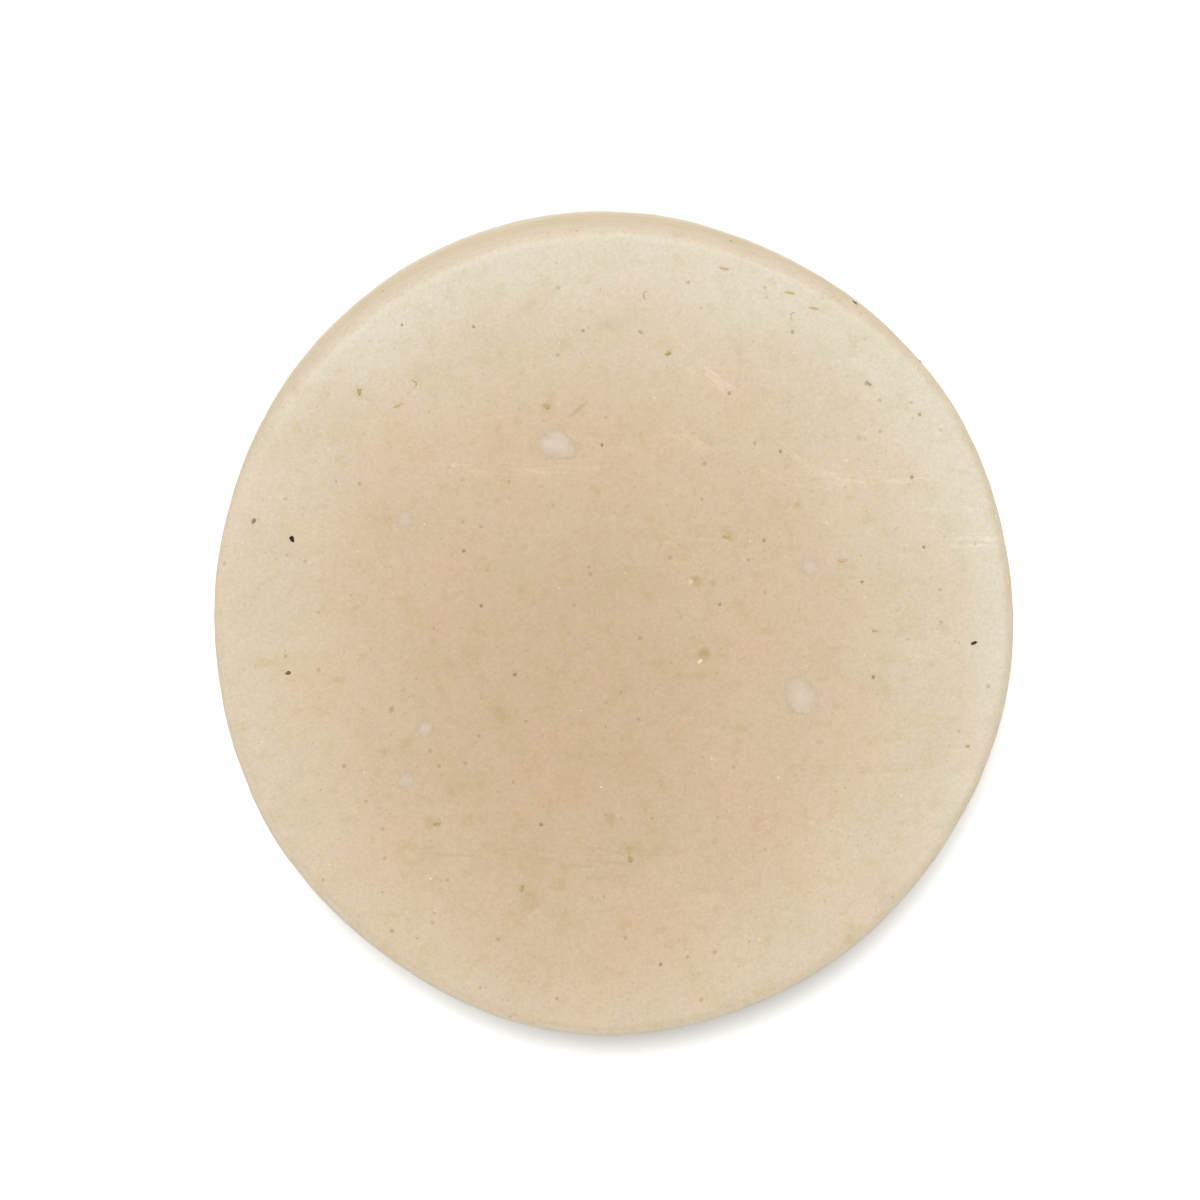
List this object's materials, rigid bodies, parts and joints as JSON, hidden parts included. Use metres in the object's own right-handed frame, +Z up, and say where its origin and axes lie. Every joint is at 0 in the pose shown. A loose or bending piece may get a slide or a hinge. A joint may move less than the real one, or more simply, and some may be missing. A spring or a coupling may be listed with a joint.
{
  "type": "shaving soap puck",
  "caption": "Round, flat cake of cast shaving soap with rounded edges and flecks of grain and husk, made to drop into a shaving mug or bowl and be lathered with a wet brush.",
  "frame": {"origin": "middle of the bottom face, on the surface the puck lies on", "axes": "+Z up along the puck's own axis, out of the face that the brush works on; +X and +Y are any two square directions across the round face, with the pair of long husk flakes near the rim lying between them"},
  "size_m": [0.076, 0.076, 0.025],
  "materials": {
    "soap": "cast soap, tan in the middle and paler to the rim, faintly clear, soft satin",
    "black_grain": "dark seed coat",
    "red_brown_grain": "red-brown seed coat",
    "brown_speck": "ground husk",
    "olive_herb": "soaked herb leaf",
    "amber_husk": "dry oat husk with a soft sheen",
    "fibre": "plant fibre",
    "white_lump": "undissolved white soap",
    "pink_lump": "undissolved pinkish soap",
    "salt": "frosted crystal"
  },
  "bodies": {
    "root": {"soap_puck": "soap", "black_grains": "black_grain", "red_brown_grains": "red_brown_grain", "brown_specks": "brown_speck", "olive_herb_bits": "olive_herb", "amber_husk_flakes": "amber_husk", "curled_fibres": "fibre", "white_soap_lumps": "white_lump", "pink_soap_lumps": "pink_lump", "salt_crystals": "salt"}
  },
  "joints": []
}
